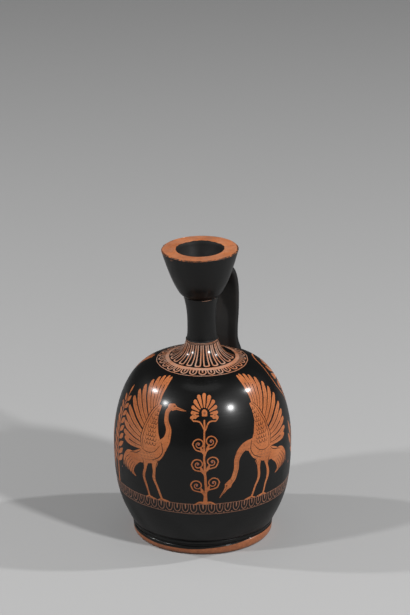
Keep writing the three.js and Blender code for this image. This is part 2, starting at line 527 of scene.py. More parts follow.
TONGUE_OUTLINE = (6.15, 7.35, 0.85)
TONGUE_CORE = (3.8, 2.7, 1.8)


def tongues(outline, run):
    """Tongues that run down the collar on to the shoulder, left out where the handle is. Each is an
    outline and a core: half their width in degrees at the foot and at the top, and their lift."""
    shapes = []
    top = outline.starts[run + 1] - 0.2
    band = shoulder_at(outline, run, WIDE_BAND[0])
    pitch = 360 / TONGUES
    for i in range(TONGUES):
        phi = pitch * (i + 0.5)
        if TONGUE_GAP[0] < phi < TONGUE_GAP[1]:
            continue
        centre = chart_x(phi + 0.25 * uneven(i))
        # The tongues' outlines are bare clay with painted pale sheen
        for finish, (foot_half, top_half, lift) in ((PALE, TONGUE_OUTLINE), (GLOSS, TONGUE_CORE)):
            low = band + lift + 0.2 * uneven(i, 1)
            wide = chart_x(foot_half * (1 + 0.05 * uneven(i, 2)))
            narrow = chart_x(top_half * (1 + 0.08 * uneven(i, 3)))
            bend = low + 1.3
            points = [(centre - narrow, top)]
            points += [
                (centre - wide * math.cos(t), bend - (bend - low) * math.sin(t) ** 0.7)
                for t in (math.pi * k / 10 for k in range(11))
            ]
            points.append((centre + narrow, top))
            shapes.append((finish, points))
    for phi in TONGUE_GAP:
        side = math.copysign(1, phi - HANDLE_PHI)
        shapes.append(limb(CLAY, [
            (chart_x(phi - side * 4.0), band + 0.9, 1.2),
            (chart_x(phi - side * 3.2), band + 6.0, 1.9),
            (chart_x(phi - side * 0.5), top - 1.5, 2.4),
        ]))
    return shapes


def palmette(x, y, size, petals=11, spread=210, tilt=90):
    """A fan of round-tipped petals over a heart, with bare ground between them"""
    shapes = []
    pitch = math.radians(spread / (petals - 1))
    start = size * 0.30
    for i in range(petals):
        turn = (i / (petals - 1) - 0.5) * spread
        length = size * (0.70 + 0.30 * math.cos(math.radians(turn)) ** 2) * (1 + 0.02 * uneven(i))
        a = math.radians(tilt + turn)
        shapes.append(petal(
            CLAY, x + start * math.cos(a), y + start * math.sin(a), tilt + turn,
            length - start, length * pitch * 0.64, root=start * pitch * 0.55,
        ))
    a = math.radians(tilt)
    back = size * 0.10
    shapes.append(petal(
        CLAY, x - back * math.cos(a), y - back * math.sin(a), tilt,
        size * 0.32, size * 0.30, root=size * 0.28,
    ))
    shapes.append(disc(BROWN, x + size * 0.05 * math.cos(a), y + size * 0.05 * math.sin(a), size * 0.07, 8))
    return shapes


def spiral(finish, x, y, size, turns, start, hand, width):
    """A tendril that winds in to a point"""
    stations = []
    steps = round(14 * turns)
    for i in range(steps + 1):
        t = i / steps
        a = math.radians(start) + hand * 2 * math.pi * turns * t
        r = size * (1 - 0.88 * t)
        stations.append((x + r * math.cos(a), y + r * math.sin(a), width * (1 - 0.35 * t)))
    return limb(finish, stations, steps=2)


def sapling(height, leaves, reach=8.0):
    """A slender tree: a thin stem, pointed leaves in pairs and berries in added red"""
    stem = [(0, 1.0, 2.0), (0.7, height * 0.3, 1.4), (-0.6, height * 0.65, 1.1), (0, height, 0.7)]
    shapes = [limb(CLAY, stem)]
    for i in range(leaves):
        t = (i + 1) / (leaves + 0.6)
        y = height * (0.16 + 0.80 * t)
        x = 0.5 * math.sin(6 * t)
        length = reach * (1.15 - 0.45 * t)
        for side in (1, -1):
            angle = 90 - side * (52 - 14 * t) + 5 * uneven(i, side)
            lift = 0.5 * side
            shapes.append(stroke(RED, [(x, y - 1.8 + lift), (x + side * 1.4, y + lift)], 0.45))
            shapes.append(leaf(CLAY, x + side * 1.2, y + lift, angle, length, 3.0))
            if i % 2 == 0:
                shapes.append(disc(RED, x + side * (reach * 0.8), y - 2.2 + lift, 0.55, 7))
    shapes.append(leaf(CLAY, 0, height - 0.8, 90, reach * 0.9, 2.0))
    return shapes


# The crane is drawn facing right, with its feet on the ground line

CRANE_BODY = [
    (11.2, 35.6), (10.4, 30.6), (6.2, 26.0), (-1.0, 23.4), (-9.0, 22.8), (-16.4, 24.6),
    (-12.4, 28.4), (-6.0, 31.6), (1.0, 36.2), (7.2, 40.2),
]
CRANE_COVERTS = [
    (7.8, 38.2), (6.2, 44.0), (4.4, 50.5), (4.0, 56.5), (4.6, 61.6), (0.8, 61.2), (-2.4, 56.6),
    (-4.9, 50.5), (-6.6, 44.0), (-7.4, 37.4), (-5.6, 32.6), (-0.6, 31.2), (4.6, 33.0),
]
COVERT_EDGE = [(-5.6, 32.6), (-7.2, 38.0), (-6.4, 45.0), (-4.2, 52.5), (-1.4, 58.6), (1.4, 61.6)]
UPRIGHT_NECK = [
    (8.6, 36.4, 8.6), (12.2, 42.0, 4.8), (12.6, 48.0, 3.5), (10.2, 53.6, 3.0), (10.0, 58.6, 3.0),
    (12.6, 62.2, 3.4),
]
BOWED_NECK = [
    (8.4, 36.0, 8.6), (14.4, 35.8, 5.0), (19.0, 30.6, 3.6), (20.0, 23.4, 3.0), (21.6, 17.2, 3.0),
    (24.4, 13.4, 3.4),
]
SCALE = [(-1.0, 1.2), (-0.8, 0), (0, -0.7), (0.8, 0), (1.0, 1.2)]
FEATHERS = 13
PLUMES = 6
RELIEF = 0.5


def wing():
    """A raised wing: long feathers fan out behind a covert that is drawn with scales"""
    edge = spline(COVERT_EDGE, 8)
    roots = [edge[round(i * (len(edge) - 1) / (FEATHERS - 1))] for i in range(FEATHERS)]
    shapes = []
    shafts = []
    for i, (x, y) in enumerate(roots):
        t = i / (FEATHERS - 1)
        a = math.radians(181 - 91 * t)
        long = 12.5 + 11.0 * math.sin(math.pi * (0.12 + 0.62 * t)) + 0.5 * uneven(i)
        lift = 1.6 * (1 - t)

        def along(share, x=x, y=y, a=a, long=long, lift=lift):
            return x + share * long * math.cos(a), y + share * long * math.sin(a) + lift * share * share

        stations = [(*along(-0.1), 2.2), (*along(0.35), 2.9), (*along(0.75), 3.7), (*along(0.96), 2.6)]
        shapes.append(limb(CLAY, stations))
        shafts.append(stroke(BROWN, [along(0.16), along(0.55), along(0.88)], 0.45))
    splits = []
    for i in range(FEATHERS - 1):
        t = (i + 0.5) / (FEATHERS - 1)
        a = math.radians(181 - 91 * t)
        x, y = ((p + q) / 2 for p, q in zip(roots[i], roots[i + 1]))
        far = 9.0 + 6.0 * math.sin(math.pi * (0.12 + 0.62 * t))
        splits.append(limb(GLOSS, [
            (x, y, 0.4), (x + far * 0.5 * math.cos(a), y + far * 0.5 * math.sin(a), 0.5),
            (x + far * math.cos(a), y + far * math.sin(a) + 0.5 * (1 - t), 0.9),
        ]))
    return shapes + splits + shafts


def covert():
    """The covert of the wing: two lines along its edge and rows of scales"""
    inner = [(x + 1.6, y - 0.3) for x, y in COVERT_EDGE]
    shapes = [loop(CLAY, CRANE_COVERTS)]
    shapes += [stroke(GLOSS, COVERT_EDGE, RELIEF), stroke(GLOSS, inner, RELIEF * 0.8)]
    rows = 9
    for row in range(rows):
        t = row / (rows - 1)
        left = -3.9 + 5.0 * t * t
        wide = 9.4 - 6.6 * t
        count = 4 - row // 3
        for k in range(count):
            x = left + wide * (k + 0.5 + 0.25 * (row % 2)) / (count + 0.3) + 0.8 * t
            y = 36.6 + 21.5 * t
            scale = [(x + u, y + v) for u, v in SCALE]
            shapes.append(stroke(GLOSS, scale, 0.34))
    return shapes


def crane_leg(hip, hock, foot):
    middle = ((hock[0] + foot[0]) / 2 + 0.3, (hock[1] + foot[1]) / 2)
    shapes = [limb(CLAY, [(*hip, 4.6), ((hip[0] + hock[0]) / 2, (hip[1] + hock[1]) / 2, 2.0),
                          (*hock, 1.9), (*middle, 1.3), (*foot, 1.4)])]
    for reach, drop in ((4.6, -1.0), (3.2, -1.6), (-2.4, -1.1)):
        shapes.append(limb(CLAY, [(*foot, 1.1), (foot[0] + reach, foot[1] + drop, 0.6)], steps=3))
    shapes.append(stroke(BROWN, [(hock[0] - 0.9, hock[1] + 0.5), (hock[0] + 0.9, hock[1] - 0.2)], 0.32))
    return shapes


def tail():
    """Drooping plumes with dark lines between them"""
    shapes = []
    for i in range(PLUMES):
        root = (-10.5 + 0.6 * i, 26.4 - 0.6 * i)
        bend = (-17.0 + 1.1 * i, 26.4 - 1.4 * i)
        fall = (-21.8 + 1.7 * i, 21.4 - 1.4 * i)
        tip = (-23.0 + 2.5 * i, 15.4 - 0.7 * i)
        shapes.append(limb(CLAY, [(*root, 2.4), (*bend, 2.3), (*fall, 2.0), (*tip, 0.5)]))
        if i:
            line = [bend, (fall[0] - 0.5, fall[1] + 0.5), (tip[0] - 1.2, tip[1] + 0.6)]
            shapes.append(stroke(GLOSS, line, 0.36))
    return shapes


def crane(neck, beak):
    """A long-legged bird with a raised wing; its neck's stations and the tip of its beak are given"""
    shapes = crane_leg((4.6, 25.5), (4.2, 14.2), (9.0, 1.4))
    shapes += crane_leg((-1.6, 25.5), (-3.4, 13.8), (0.2, 1.4))
    shapes += tail()
    shapes.append(loop(CLAY, CRANE_BODY))
    x, y, _ = neck[-1]
    tip = Vector(beak) - Vector((x, y))
    ahead = tip.normalized()
    face = Vector((x, y)) + ahead * 2.2
    shapes.append(limb(CLAY, neck))
    back = Vector((x, y)) - ahead * 1.2
    crown = Vector((x, y)) + ahead * 1.4
    shapes.append(limb(CLAY, [(*back, 3.6), (*crown, 4.6), (*face, 3.4)]))
    shapes.append(limb(CLAY, [
        (*(face - ahead * 0.5), 2.5), (*(face + (Vector(beak) - face) * 0.45), 1.5), (*beak, 0.4),
    ]))
    shapes.append(stroke(GLOSS, [face + ahead * 0.8, (face + Vector(beak)) / 2, beak], 0.3))
    eye = Vector((x, y)) + ahead * 1.9 + Vector((-ahead.y, ahead.x)) * (0.8 if ahead.x > 0 else -0.8)
    shapes.append(disc(GLOSS, *eye, 0.55, 8))
    shapes += wing() + covert()
    shapes += [
        stroke(GLOSS, [(8.4, 39.0), (9.8, 34.0), (7.6, 29.2), (2.4, 26.6)], RELIEF),
        stroke(GLOSS, [(-5.4, 32.4), (-1.0, 30.9), (4.0, 32.2), (7.8, 36.6)], RELIEF * 0.8),
        stroke(GLOSS, [(-6.0, 31.0), (-8.6, 28.6), (-13.0, 27.4), (-16.0, 26.2)], RELIEF),
        stroke(GLOSS, [(7.4, 27.6), (5.9, 24.2), (5.6, 20.0)], RELIEF * 0.8),
        stroke(GLOSS, [(-4.2, 25.8), (-3.2, 22.4), (-3.6, 18.6)], RELIEF * 0.8),
    ]
    for row in range(3):
        for k in range(5):
            x, y = -6.4 + 2.7 * k + 0.9 * row, 29.4 - 1.8 * row + 0.25 * k
            shapes.append(stroke(BROWN, [(x - 0.9, y + 0.5), (x, y - 0.3), (x + 0.9, y + 0.3)], 0.46))
    for (x0, y0, w0), (x1, y1, w1) in zip(neck[1:], neck[2:]):
        aside = Vector((y1 - y0, x0 - x1)).normalized()
        first = Vector((x0, y0)) + aside * w0 * 0.22
        last = Vector((x1, y1)) + aside * w1 * 0.22
        shapes.append(stroke(BROWN, [first, (first + last) / 2, last], 0.4))
    return shapes


def flower_tree():
    """A slender stem with paired tendrils and leaves, and a palmette for its crown"""
    shapes = [limb(CLAY, [(0, 1.2, 2.6), (0.5, 12, 1.6), (-0.4, 32, 1.3), (0, 55, 1.1)], steps=8)]
    for side in (1, -1):
        for y, size in ((14, 4.4), (28, 3.8), (41, 3.2)):
            y += 0.8 * side
            shapes.append(limb(CLAY, [
                (0, y - 9, 0.7), (side * 1.5, y - 5.0, 0.8),
                (side * (size + 2.4), y - 3.4, 0.8), (side * (size + 4.3), y, 0.8),
            ], steps=5))
            start = 0 if side > 0 else 180
            shapes.append(spiral(CLAY, side * (size + 0.5), y, 3.8, 1.5, start, side, 0.8))
            shapes.append(leaf(CLAY, side * 0.8, y - 6.6, 90 - side * 20, 5.6, 1.7))
            shapes.append(disc(RED, side * (size + 0.5), y, 0.7, 8))
        shapes.append(limb(CLAY, [(0, 0.8, 1.8), (side * 3.2, 1.3, 1.3), (side * 6.2, -0.2, 0.7)], steps=4))
        shapes.append(limb(CLAY, [(side * 0.5, 49, 0.7), (side * 3.0, 54, 0.9), (side * 7.4, 54.6, 0.9)]))
        shapes.append(spiral(CLAY, side * 6.6, 57.0, 2.5, 1.2, -80, side, 0.8))
    shapes += palmette(0, 59.0, 13.5)
    return shapes


def side_scrolls():
    """The ornament round the handle's root and under it: palmettes among tendrils"""
    shapes = palmette(0, 31, 21.0, petals=13, spread=216)
    shapes += palmette(0, 23.5, 15.0, petals=9, spread=180, tilt=-90)
    for side in (1, -1):
        shapes.append(limb(CLAY, [
            (side * 2, 4.0, 1.2), (side * 14, 6.5, 1.2), (side * 24.5, 17, 1.2), (side * 27, 32, 1.2),
            (side * 22, 47, 1.2), (side * 12, 58, 1.2), (side * 4.5, 60.5, 1.0),
        ], steps=8))
        shapes.append(spiral(CLAY, side * 5.2, 64.0, 3.8, 1.4, -90, -side, 1.0))
        shapes.append(limb(CLAY, [
            (side * 27, 31, 1.0), (side * 40, 37.5, 1.0), (side * 50, 45, 1.0), (side * 57, 53.5, 1.0),
            (side * 62.5, 61.5, 1.0), (side * 62.3, 69.5, 1.0), (side * 57.0, 75.8, 1.0),
            (side * 46.6, 80.4, 1.0), (side * 33, 80.2, 1.0), (side * 24, 75.5, 1.0), (side * 22.5, 70, 0.8),
        ], steps=8))
        upwards = 90 - side * 72
        shapes += palmette(side * 37.5, 60.5, 20.5, petals=11, spread=216, tilt=upwards)
        shapes.append(limb(CLAY, [
            (side * 24, 15, 1.0), (side * 38, 11, 1.0), (side * 52, 12.5, 1.0), (side * 61.5, 20, 1.0),
            (side * 63, 28, 1.0),
        ], steps=8))
        start = 0 if side > 0 else 180
        shapes.append(spiral(CLAY, side * 57.8, 28.0, 5.2, 1.5, start, side, 0.9))
        shapes.append(leaf(CLAY, side * 52, 12.5, 90 - side * 62, 14.5, 3.4))
        shapes.append(leaf(CLAY, side * 62, 21, 90 - side * 34, 12.0, 3.2))
        shapes.append(leaf(CLAY, side * 63, 27.5, 90 - side * 8, 11.0, 3.0))
        shapes.append(leaf(CLAY, side * 39, 11, 90 - side * 20, 13.0, 3.4))
        shapes.append(leaf(CLAY, side * 27.5, 30, 90 - side * 42, 12.0, 3.0))
        for x, y in ((31, 21), (45, 28), (69, 12), (16, 66)):
            shapes.append(disc(RED, side * x, y, 1.0, 9))
    return shapes


# The turned pieces

def foot_outline():
    rest_in, rest_out = FOOT_REST
    floor_edge = (rest_in - FOOT_RECESS, FOOT_RECESS)
    return Outline([
        [(0, FOOT_CROWN), floor_edge] + rounded(floor_edge, (rest_in, FOOT_RECESS), (rest_in, 0.0)),
        [(rest_in, 0.0), (rest_out, 0.0)],
        rounded((rest_out, 0.0), (ROLL_RADIUS, 0.0), (ROLL_RADIUS, ROLL_ROUND))
        + rounded(ROLL_EDGE, (ROLL_EDGE[0], GROOVE[1]), GROOVE),
        rounded(GROOVE, (GROOVE[0], GROOVE[1] + 0.6), BAND_LIP),
        rounded(BAND_LIP, (BAND_RADIUS, BAND_LIP[1] + 0.1), (BAND_RADIUS, BAND_LIP[1] + 0.4))
        + rounded((BAND_RADIUS, BAND_FACE_TO), (BAND_RADIUS, BAND_TOP[1]), (BAND_TOP[0], FOOT_HEIGHT)),
        [(BAND_TOP[0], FOOT_HEIGHT), (0, FOOT_HEIGHT)],
    ])


def body_outline():
    bottom = FOOT_HEIGHT + SLIP
    undercut = (BODY_BASE[0] - BASE_UNDERCUT, bottom)
    wall = curve_through([BODY_BASE, BODY_BELLY, BODY_SHOULDER, BODY_COLLAR])
    inner = curve_through([INSIDE_FLOOR, INSIDE_HIP, INSIDE_BELLY, INSIDE_SHOULDER, INSIDE_THROAT])
    return Outline([
        [(0, bottom), undercut],
        [undercut] + wall,
        [BODY_COLLAR[:2], (BORE, BODY_COLLAR[1])],
        [(BORE, BODY_COLLAR[1])] + inner[::-1],
    ])


def neck_outline():
    inner = BEAD_RADIUS - BEAD_ROUND
    low = BEAD_FROM
    middle = low + BEAD_HEIGHT / 2
    high = low + BEAD_HEIGHT
    bead = rounded((inner, low), (BEAD_RADIUS, low), (BEAD_RADIUS, middle))
    bead += rounded((BEAD_RADIUS, middle), (BEAD_RADIUS, high), (inner, high))
    wall = curve_through([NECK_FOOT, NECK_WAIST, NECK_TOP])
    top = NECK_TOP[1] + 0.28
    return Outline([
        [(inner, -0.25), (inner, low)],
        bead,
        [(inner, high)] + wall,
        [wall[-1], (BORE, top)],
        [(BORE, top), (BORE, -0.25)],
        [(BORE, -0.25), (inner, -0.25)],
    ])


def mouth_outline():
    wall = curve_through([MOUTH_HEEL, MOUTH_CHEEK, MOUTH_EDGE])
    return Outline([
        wall,
        rounded(wall[-1], (RIM_OUTER + 0.3, RIM_HEIGHT), (RIM_OUTER - 0.4, RIM_HEIGHT)),
        [(RIM_OUTER - 0.4, RIM_HEIGHT), (RIM_INNER + 1.0, RIM_HEIGHT)],
        rounded((RIM_INNER + 1.0, RIM_HEIGHT), (RIM_INNER - 0.2, RIM_HEIGHT), CUP_LIP[:2])
        + curve_through([CUP_LIP, CUP_FLOOR])[1:] + [(BORE, MOUTH_HEEL[1])],
        [(BORE, MOUTH_HEEL[1]), MOUTH_HEEL[:2]],
    ])


UPPER_EGG = ((0.86, 0.12), (0.58, 0.28), (0.18, 0.50))
LOWER_EGG = ((0.80, 0.10), (0.66, 0.18), (0.14, 0.46))
BRUSH_SHAKE = 0.16


def body_painting(outline):
    wall = 1
    low = outline.at_height(LOWER_BAND_FOOT, wall)
    high = outline.at_height(GROUND_LINE, wall)
    circle = shoulder_at(outline, wall, TOP_CIRCLE)
    band = [shoulder_at(outline, wall, r) for r in (WIDE_BAND[1], WIDE_BAND[0])]
    # The circle and the wide band are bare clay with painted pale sheen, like the clay of the upper eggs
    shapes = [
        ring(FADED, low, low + THIN_LINE),
        ring(FADED, high - THIN_LINE, high),
        ring(PALE, circle - LINE / 2, circle + LINE / 2),
        ring(PALE, band[0], band[1]),
        ring(DULL, outline.starts[3], outline.length),
    ]
    shapes += eggs(FADED, low + THIN_LINE, high - THIN_LINE, LOWER_EGGS, LOWER_EGG, dot=0.36)
    shapes += eggs(PALE, circle + LINE / 2, band[0], UPPER_EGGS, UPPER_EGG)
    shapes += tongues(outline, wall)

    def figure(shapes, phi, flip=1):
        return placed(shapes, phi, GROUND_LINE - 0.2, outline, wall, 1.0, flip)

    calling = crane(UPRIGHT_NECK, (23.2, 60.6))
    bowing = crane(BOWED_NECK, (30.2, 4.2))
    return (
        shapes + figure(flower_tree(), 1.5) + figure(calling, -37) + figure(bowing, 43, -1)
        + figure(sapling(60, 9), -71) + figure(bowing, -106) + figure(side_scrolls(), HANDLE_PHI)
    )


# Height of the darker clay on the foot, below the painter's boundary
DARKER_FOOT_CLAY_TO = 4.1


def foot_painting(outline):
    """Clay below a boundary that the painter drew by hand, highest at the front right"""
    edge = []
    steps = 120
    for i in range(steps + 1):
        phi = -180 + 360 * i / steps
        aside = math.remainder(phi - 58, 360) / 46
        waver = 0.3 * math.sin(math.radians(3 * phi + 171)) - 0.08 * math.sin(math.radians(11 * phi))
        height = DARKER_FOOT_CLAY_TO + 2.2 * math.exp(-aside * aside) - waver
        edge.append((chart_x(phi), outline.at_height(height, 2)))
    # The clay below the boundary is coloured darker than the bare clay elsewhere
    return [(DARKER_FOOT_CLAY, [(-CHART_HALF, 0.0), (CHART_HALF, 0.0)] + edge[::-1])]


def neck_painting(outline):
    """The bead, bare at its foot under painted pale sheen, and under the mouth a painted highlight: a pale
    line and a dot where the joint would catch a glint
    """
    foot, wall, top = outline.starts[1], outline.starts[2], outline.starts[3]
    return [
        ring(DULL, foot, wall + 0.6),
        # Bare clay at the bead's foot, with painted pale sheen
        ring(PALE, foot - 0.3, foot + 1.05),
        # Painted highlight: a thin pale line and a dot for the lamps' glint on the joint under the mouth
        stroke(PALE, [(chart_x(phi), top - 0.3) for phi in (2, 12, 22, 36)], 0.28),
        disc(PALE, chart_x(52), top - 0.2, 0.35, 8),
    ]


CHIPS = ((-47, 58.6, 2.6, 1.5), (38, 59.5, 1.3, 0.7), (-12, 59.4, 1.0, 0.6), (118, 58.9, 2.0, 1.1))


def mouth_painting(outline):
    """The bare rim, its rubbed outer edge, a few chips under it and a hairline crack across it"""
    top, lip = outline.starts[2], outline.starts[3]
    shapes = [
        ring(DULL, lip, outline.starts[4] + 1.0),
        ring(WORN, outline.starts[1] + 0.1, top + 0.3),
        # The rim's clay carries a little painted pale sheen
        ring(RIM, top + 0.15, lip + 0.9),
    ]
    for phi, height, wide, tall in CHIPS:
        s = outline.at_height(height, 0)
        x = chart_x(phi)
        w = wide * CHART_RADIUS / MOUTH_EDGE[0] / 2
        shapes.append(loop(WORN, [
            (x - w, s + 0.1 * tall), (x - 0.4 * w, s - 0.5 * tall), (x + 0.5 * w, s - 0.3 * tall),
            (x + w, s + 0.3 * tall), (x + 0.2 * w, s + 0.6 * tall),
        ]))
    crack = chart_x(100)
    shapes.append(stroke(DULL, [
        (crack, top + 1.5), (crack + 1.0, top + 3.5), (crack - 0.6, top + 5.0), (crack + 0.4, lip + 0.8),
    ], 0.5))
    return shapes


# Materials

def material(name):
    made = bpy.data.materials.new(name)
    made.use_nodes = True
    nodes = made.node_tree.nodes
    nodes.clear()
    out = nodes.new("ShaderNodeOutputMaterial")
    shader = nodes.new("ShaderNodeBsdfPrincipled")
    made.node_tree.links.new(shader.outputs[0], out.inputs[0])
    return made, made.node_tree, shader


def object_coords(tree, stretch=(1, 1, 1)):
    """Places on the piece, stretched so that a pattern laid on them is drawn out or pressed flat"""
    coords = tree.nodes.new("ShaderNodeTexCoord").outputs["Object"]
    if stretch == (1, 1, 1):
        return coords
    mapping = tree.nodes.new("ShaderNodeMapping")
    mapping.inputs["Scale"].default_value = stretch
    tree.links.new(coords, mapping.inputs["Vector"])
    return mapping.outputs["Vector"]


def noise_node(tree, coords, scale, detail=4.0, rough=0.55):
    node = tree.nodes.new("ShaderNodeTexNoise")
    node.inputs["Scale"].default_value = scale
    node.inputs["Detail"].default_value = detail
    node.inputs["Roughness"].default_value = rough
    tree.links.new(coords, node.inputs["Vector"])
    return node.outputs["Fac"]


def ramp_node(tree, source, stops):
    """Colours along a value; a stop's colour may be one grey level"""
    stops = [(at, (c, c, c) if isinstance(c, (int, float)) else c) for at, c in stops]
    node = tree.nodes.new("ShaderNodeValToRGB")
    node.color_ramp.elements[0].position = stops[0][0]
    node.color_ramp.elements[0].color = (*stops[0][1], 1)
    node.color_ramp.elements[1].position = stops[-1][0]
    node.color_ramp.elements[1].color = (*stops[-1][1], 1)
    for position, colour in stops[1:-1]:
        node.color_ramp.elements.new(position).color = (*colour, 1)
    tree.links.new(source, node.inputs[0])
    return node.outputs[0]


def mix_colours(tree, amount, first, second, blend="MIX"):
    node = tree.nodes.new("ShaderNodeMix")
    node.data_type = "RGBA"
    node.blend_type = blend
    sockets = {s.identifier: s for s in node.inputs}
    for key, value in (("Factor_Float", amount), ("A_Color", first), ("B_Color", second)):
        if isinstance(value, bpy.types.NodeSocket):
            tree.links.new(value, sockets[key])
        elif isinstance(value, tuple):
            sockets[key].default_value = (*value, 1)
        else:
            sockets[key].default_value = value
    return next(s for s in node.outputs if s.identifier == "Result_Color")


def bump_node(tree, shader, height, distance, strength):
    node = tree.nodes.new("ShaderNodeBump")
    node.inputs["Strength"].default_value = strength
    node.inputs["Distance"].default_value = distance
    tree.links.new(height, node.inputs["Height"])
    tree.links.new(node.outputs[0], shader.inputs["Normal"])


WHEEL_STRETCH = (1, 1, 9)
CLAY_TONES = [(0.28, (0.35, 0.098, 0.028)), (0.50, (0.47, 0.142, 0.043)), (0.76, (0.54, 0.190, 0.070))]
STAIN = (0.115, 0.075, 0.062)
# The pale colour of the painted sheen: laid over clay, it stands for soft light reflected from above
PAINTED_SHEEN_COLOUR = (0.43, 0.27, 0.20)


def clay_colour(tree, painted_sheen=0.0):
    """Orange clay: cloudy tone, faint wheel streaks, fine dark grit and a little grey dirt. The second
    argument is how much pale sheen is painted over it in patches, standing for soft light reflected from
    above."""
    coords = object_coords(tree)
    tone = ramp_node(tree, noise_node(tree, coords, 45.0, 5.0, 0.6), CLAY_TONES)
    drawn = noise_node(tree, object_coords(tree, WHEEL_STRETCH), 120.0, 3.0, 0.6)
    streaks = ramp_node(tree, drawn, [(0.32, 0.74), (0.5, 1.0), (0.75, 1.12)])
    tone = mix_colours(tree, 0.7, tone, streaks, "MULTIPLY")
    grit = ramp_node(tree, noise_node(tree, coords, 1100.0, 2.0, 0.5), [(0.30, 0.35), (0.42, 1.0)])
    tone = mix_colours(tree, 0.7, tone, grit, "MULTIPLY")
    if painted_sheen:
        # Painted sheen: the clay turns towards the pale colour in patches, as if lit by a broad reflection
        sheen_patches = noise_node(tree, coords, 150.0, 5.0, 0.65)
        share = ramp_node(tree, sheen_patches, [(0.38, 0.4 * painted_sheen), (0.64, 1.7 * painted_sheen)])
        tone = mix_colours(tree, share, tone, PAINTED_SHEEN_COLOUR)
    dirt = ramp_node(tree, noise_node(tree, coords, 260.0, 6.0, 0.7), [(0.62, 0.0), (0.74, 0.55)])
    return mix_colours(tree, dirt, tone, STAIN)


def polish(tree, shader, broad, sharp, roughness=0.19):
    """The broad part of the shine and, over it, the sharp part, which is held back at the edges"""
    shader.inputs["Specular IOR Level"].default_value = broad
    shader.inputs["Coat Roughness"].default_value = roughness
    if sharp:
        aside = tree.nodes.new("ShaderNodeLayerWeight").outputs["Facing"]
        held = ramp_node(tree, aside, [(0.30, sharp), (0.65, 0.25 * sharp)])
        tree.links.new(held, shader.inputs["Coat Weight"])


def clay_material(name, painted_sheen):
    made, tree, shader = material(name)
    coords = object_coords(tree)
    tree.links.new(clay_colour(tree, painted_sheen), shader.inputs["Base Color"])
    worn = noise_node(tree, coords, 80.0, 4.0, 0.6)
    tree.links.new(ramp_node(tree, worn, [(0.3, 0.42), (0.75, 0.58)]), shader.inputs["Roughness"])
    polish(tree, shader, 0.2, 0.6)
    bump_node(tree, shader, noise_node(tree, coords, 800.0, 4.0, 0.6), 0.0003, 0.25)
    return made


def worn_material():
    """An edge where the slip is rubbed through: clay and dark remains in small patches"""
    made, tree, shader = material("rubbed_edge")
    coords = object_coords(tree)
    patches = ramp_node(tree, noise_node(tree, coords, 420.0, 5.0, 0.7), [(0.47, 0.0), (0.60, 1.0)])
    tree.links.new(
        mix_colours(tree, patches, (0.045, 0.022, 0.014), clay_colour(tree)), shader.inputs["Base Color"],
    )
    shader.inputs["Roughness"].default_value = 0.5
    polish(tree, shader, 0.3, 0.0)
    bump_node(tree, shader, noise_node(tree, coords, 900.0, 4.0, 0.6), 0.0004, 0.35)
    return made


def thin_colour(name, light, dark, roughness):
    """A thin painted colour that lets the clay's unevenness through"""
    made, tree, shader = material(name)
    coords = object_coords(tree)
    tone = ramp_node(tree, noise_node(tree, coords, 500.0, 4.0, 0.65), [(0.32, dark), (0.68, light)])
    tree.links.new(tone, shader.inputs["Base Color"])
    shader.inputs["Roughness"].default_value = roughness
    polish(tree, shader, 0.3, 0.5)
    bump_node(tree, shader, noise_node(tree, coords, 900.0, 3.0, 0.6), 0.0003, 0.2)
    return made


SLIP_TONES = [
    (0.25, (0.0014, 0.0016, 0.0017)), (0.58, (0.0020, 0.0020, 0.0019)), (0.78, (0.0048, 0.0034, 0.0027)),
]
DULL_TONES = [
    (0.25, (0.011, 0.011, 0.0115)), (0.58, (0.015, 0.014, 0.0135)), (0.78, (0.030, 0.021, 0.016)),
]
# Slip tones painted many times lighter than the black gloss, to lift the shade on the strap's inner face
SHADE_LIGHTENED_SLIP_TONES = [
    (0.25, (0.019, 0.019, 0.0195)), (0.58, (0.025, 0.0235, 0.0225)), (0.78, (0.042, 0.031, 0.025)),
]


def slip_material(name, tones, roughness, broad, sharp):
    """Black slip: lustrous where it is thick, browner where it is thin, with wheel marks and wear"""
    made, tree, shader = material(name)
    coords = object_coords(tree)
    tone = ramp_node(tree, noise_node(tree, coords, 34.0, 5.0, 0.6), tones)
    pits = ramp_node(tree, noise_node(tree, coords, 520.0, 5.0, 0.72), [(0.725, 0.0), (0.755, 1.0)])
    colour = mix_colours(tree, pits, tone, (0.17, 0.062, 0.030))
    rubbed = ramp_node(tree, noise_node(tree, coords, 95.0, 7.0, 0.75), [(0.70, 0.0), (0.735, 0.8)])
    colour = mix_colours(tree, rubbed, colour, (0.070, 0.034, 0.022))
    tree.links.new(colour, shader.inputs["Base Color"])
    low, high = roughness
    patches = noise_node(tree, coords, 75.0, 5.0, 0.65)
    tree.links.new(ramp_node(tree, patches, [(0.3, low), (0.75, high)]), shader.inputs["Roughness"])
    polish(tree, shader, broad, sharp)
    marks = noise_node(tree, object_coords(tree, WHEEL_STRETCH), 70.0, 4.0, 0.6)
    bump_node(tree, shader, marks, 0.0006, 0.14)
    return made


